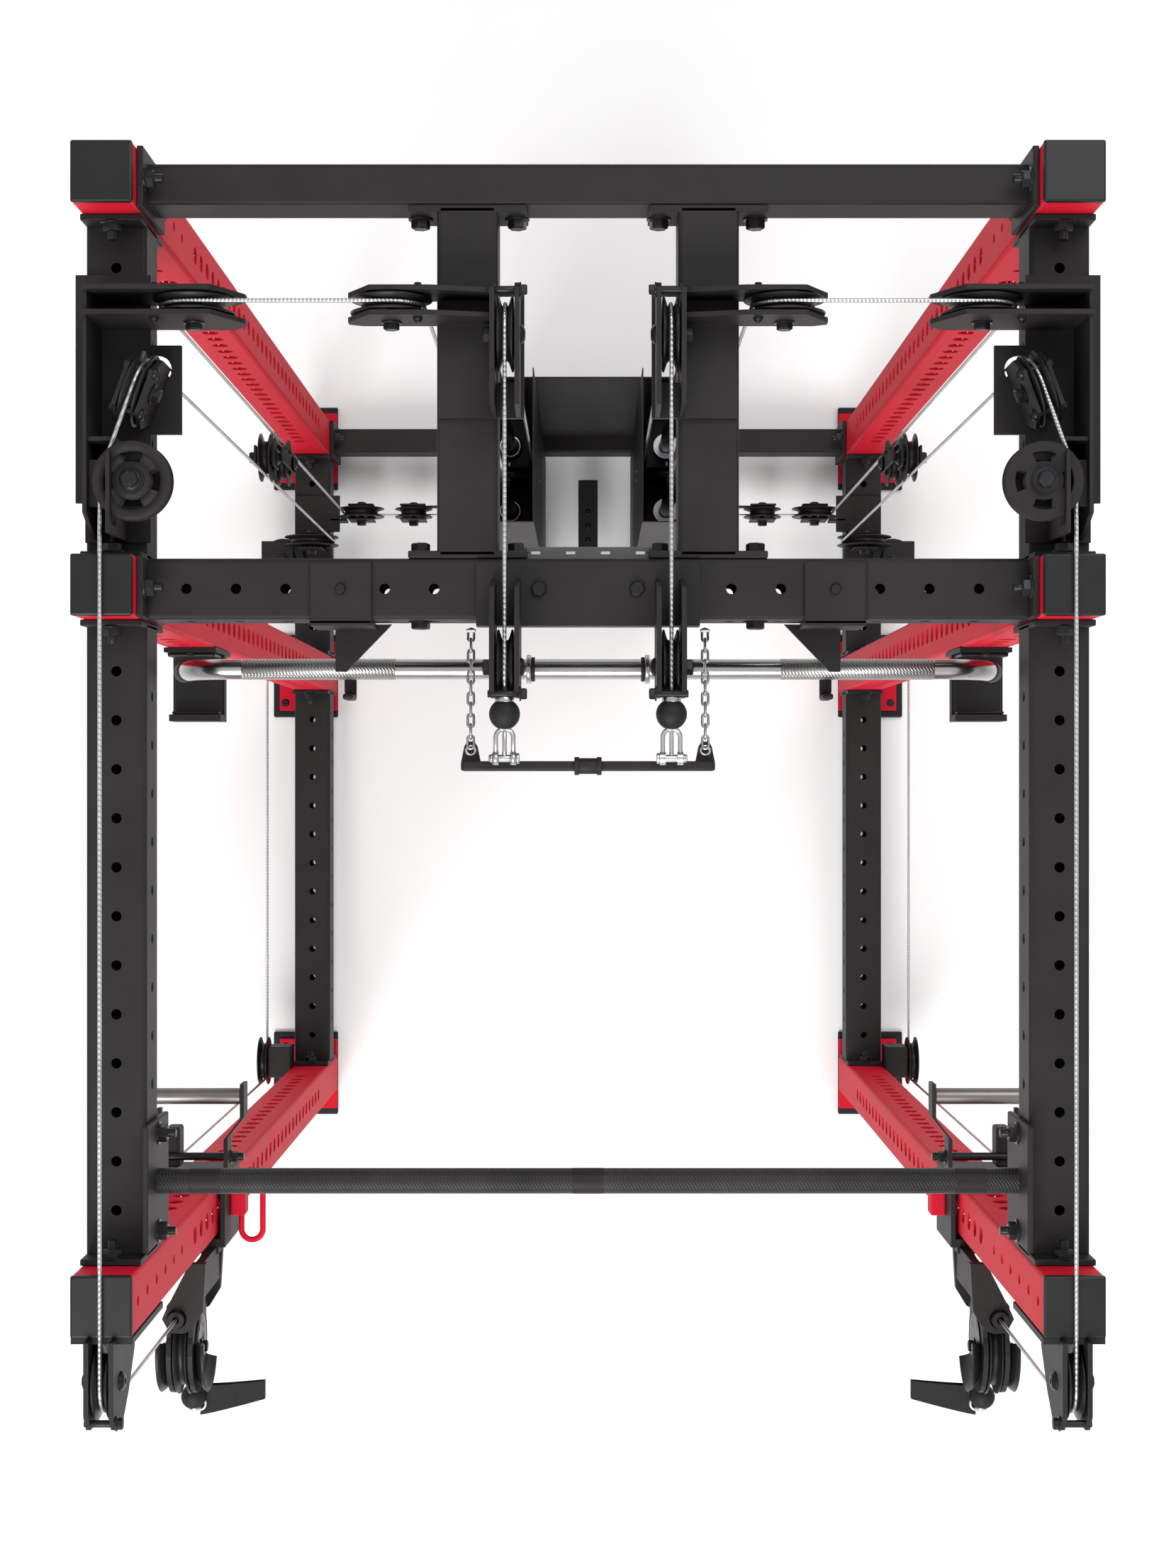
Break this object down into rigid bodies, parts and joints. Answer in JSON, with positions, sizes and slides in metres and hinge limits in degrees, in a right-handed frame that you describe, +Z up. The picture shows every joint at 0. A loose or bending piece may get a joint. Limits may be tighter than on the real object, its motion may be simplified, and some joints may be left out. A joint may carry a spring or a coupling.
{
  "type": "cable crossover machine",
  "caption": "Free-standing cable crossover rack with square uprights, twin weight towers, top pulleys, and pulley carriages that slide on the front uprights.",
  "frame": {"origin": "centre of the footprint box on the floor", "axes": "+Z up, -Y towards the user at the front, +X to the right in the top view"},
  "size_m": [1.374, 1.753, 2.318],
  "materials": {
    "red_paint": "satin",
    "black_paint": "satin",
    "pulley_plastic": "satin",
    "cable_steel": "satin",
    "chrome": "polished",
    "rod_steel": "polished",
    "stack_iron": "matte",
    "zinc": "satin",
    "rubber_black": "matte",
    "webbing": "woven"
  },
  "bodies": {
    "root": {"rear_upright_left": "red_paint", "middle_upright_left": "red_paint", "front_upright_left": "red_paint", "rear_top_beam_left": "black_paint", "front_top_beam_left": "black_paint", "rear_base_beam_left": "black_paint", "front_base_beam_left": "black_paint", "tower_beam_left": "black_paint", "stack_shroud_left": "black_paint", "tower_bracket_left": "black_paint", "corner_bracket_left": "black_paint", "front_bracket_left": "black_paint", "j_cup_left": "black_paint", "guide_rods_left": "rod_steel", "stack_cable_left": "cable_steel", "carriage_cable_left": "cable_steel", "rear_upright_right": "red_paint", "middle_upright_right": "red_paint", "front_upright_right": "red_paint", "rear_top_beam_right": "black_paint", "front_top_beam_right": "black_paint", "rear_base_beam_right": "black_paint", "front_base_beam_right": "black_paint", "tower_beam_right": "black_paint", "stack_shroud_right": "black_paint", "tower_bracket_right": "black_paint", "corner_bracket_right": "black_paint", "front_bracket_right": "black_paint", "j_cup_right": "black_paint", "guide_rods_right": "rod_steel", "stack_cable_right": "cable_steel", "carriage_cable_right": "cable_steel", "rear_top_crossmember": "black_paint", "rear_bottom_crossmember": "black_paint", "middle_crossmember": "black_paint", "front_pullup_bar": "black_paint", "rear_panel": "black_paint", "lat_saddle": "black_paint", "spreader_bar": "black_paint"},
    "lat_bar": {"lat_bar": "chrome"},
    "stack_left": {"weight_stack_left": "stack_iron"},
    "carriage_left": {"carriage_left": "black_paint"},
    "swivel_left": {"swivel_arm_left": "black_paint"},
    "tower_pulley_left": {"tower_pulley_left": "pulley_plastic"},
    "lat_pulley_left": {"lat_pulley_left": "pulley_plastic"},
    "front_pulley_left": {"front_pulley_left": "pulley_plastic"},
    "inner_pulley_left": {"inner_pulley_left": "pulley_plastic"},
    "corner_pulley_left": {"corner_pulley_left": "pulley_plastic"},
    "turn_pulley_left": {"turn_pulley_left": "pulley_plastic"},
    "swivel_pulley_left": {"swivel_pulley_left": "pulley_plastic"},
    "stack_right": {"weight_stack_right": "stack_iron"},
    "carriage_right": {"carriage_right": "black_paint"},
    "swivel_right": {"swivel_arm_right": "black_paint"},
    "tower_pulley_right": {"tower_pulley_right": "pulley_plastic"},
    "lat_pulley_right": {"lat_pulley_right": "pulley_plastic"},
    "front_pulley_right": {"front_pulley_right": "pulley_plastic"},
    "inner_pulley_right": {"inner_pulley_right": "pulley_plastic"},
    "corner_pulley_right": {"corner_pulley_right": "pulley_plastic"},
    "turn_pulley_right": {"turn_pulley_right": "pulley_plastic"},
    "swivel_pulley_right": {"swivel_pulley_right": "pulley_plastic"}
  },
  "joints": [
    {"name": "lat_bar_lift", "type": "slide", "parent": "root", "child": "lat_bar", "axis": [0, 0, 1], "range_m": [0, 0.06]},
    {"name": "stack_lift_left", "type": "slide", "parent": "root", "child": "stack_left", "axis": [0, 0, 1], "range_m": [0, 1.15], "deforming": ["stack_cable_left"]},
    {"name": "carriage_height_left", "type": "slide", "parent": "root", "child": "carriage_left", "axis": [0, 0, 1], "range_m": [-1.25, 0.38], "deforming": ["carriage_cable_left"]},
    {"name": "swivel_turn_left", "type": "hinge", "parent": "carriage_left", "child": "swivel_left", "pos_m": [-0.585, -0.7105, 1.69], "axis": [0, 0, 1], "range_deg": [-80, 80]},
    {"name": "tower_pulley_spin_left", "type": "hinge", "parent": "root", "child": "tower_pulley_left", "pos_m": [-0.1, 0.5955, 2.256], "axis": [1, 0, 0], "continuous": true},
    {"name": "lat_pulley_spin_left", "type": "hinge", "parent": "root", "child": "lat_pulley_left", "pos_m": [-0.1, 0.1915, 2.256], "axis": [1, 0, 0], "continuous": true},
    {"name": "front_pulley_spin_left", "type": "hinge", "parent": "root", "child": "front_pulley_left", "pos_m": [-0.585, -0.6745, 2.256], "axis": [1, 0, 0], "continuous": true},
    {"name": "inner_pulley_spin_left", "type": "hinge", "parent": "root", "child": "inner_pulley_left", "pos_m": [-0.239, 0.6295, 2.25], "axis": [0, 1, 0], "continuous": true},
    {"name": "corner_pulley_spin_left", "type": "hinge", "parent": "root", "child": "corner_pulley_left", "pos_m": [-0.479, 0.6295, 2.25], "axis": [0, 1, 0], "continuous": true},
    {"name": "turn_pulley_spin_left", "type": "hinge", "parent": "root", "child": "turn_pulley_left", "pos_m": [-0.545, 0.4125, 2.292], "axis": [0, 0, 1], "continuous": true},
    {"name": "swivel_pulley_spin_left", "type": "hinge", "parent": "swivel_left", "child": "swivel_pulley_left", "pos_m": [-0.585, -0.7685, 1.69], "axis": [1, 0, 0], "continuous": true},
    {"name": "stack_lift_right", "type": "slide", "parent": "root", "child": "stack_right", "axis": [0, 0, 1], "range_m": [0, 1.15], "deforming": ["stack_cable_right"]},
    {"name": "carriage_height_right", "type": "slide", "parent": "root", "child": "carriage_right", "axis": [0, 0, 1], "range_m": [-1.25, 0.38], "deforming": ["carriage_cable_right"]},
    {"name": "swivel_turn_right", "type": "hinge", "parent": "carriage_right", "child": "swivel_right", "pos_m": [0.585, -0.7105, 1.69], "axis": [0, 0, 1], "range_deg": [-80, 80]},
    {"name": "tower_pulley_spin_right", "type": "hinge", "parent": "root", "child": "tower_pulley_right", "pos_m": [0.1, 0.5955, 2.256], "axis": [1, 0, 0], "continuous": true},
    {"name": "lat_pulley_spin_right", "type": "hinge", "parent": "root", "child": "lat_pulley_right", "pos_m": [0.1, 0.1915, 2.256], "axis": [1, 0, 0], "continuous": true},
    {"name": "front_pulley_spin_right", "type": "hinge", "parent": "root", "child": "front_pulley_right", "pos_m": [0.585, -0.6745, 2.256], "axis": [1, 0, 0], "continuous": true},
    {"name": "inner_pulley_spin_right", "type": "hinge", "parent": "root", "child": "inner_pulley_right", "pos_m": [0.239, 0.6295, 2.25], "axis": [0, 1, 0], "continuous": true},
    {"name": "corner_pulley_spin_right", "type": "hinge", "parent": "root", "child": "corner_pulley_right", "pos_m": [0.479, 0.6295, 2.25], "axis": [0, 1, 0], "continuous": true},
    {"name": "turn_pulley_spin_right", "type": "hinge", "parent": "root", "child": "turn_pulley_right", "pos_m": [0.545, 0.4125, 2.292], "axis": [0, 0, 1], "continuous": true},
    {"name": "swivel_pulley_spin_right", "type": "hinge", "parent": "swivel_right", "child": "swivel_pulley_right", "pos_m": [0.585, -0.7685, 1.69], "axis": [1, 0, 0], "continuous": true}
  ]
}
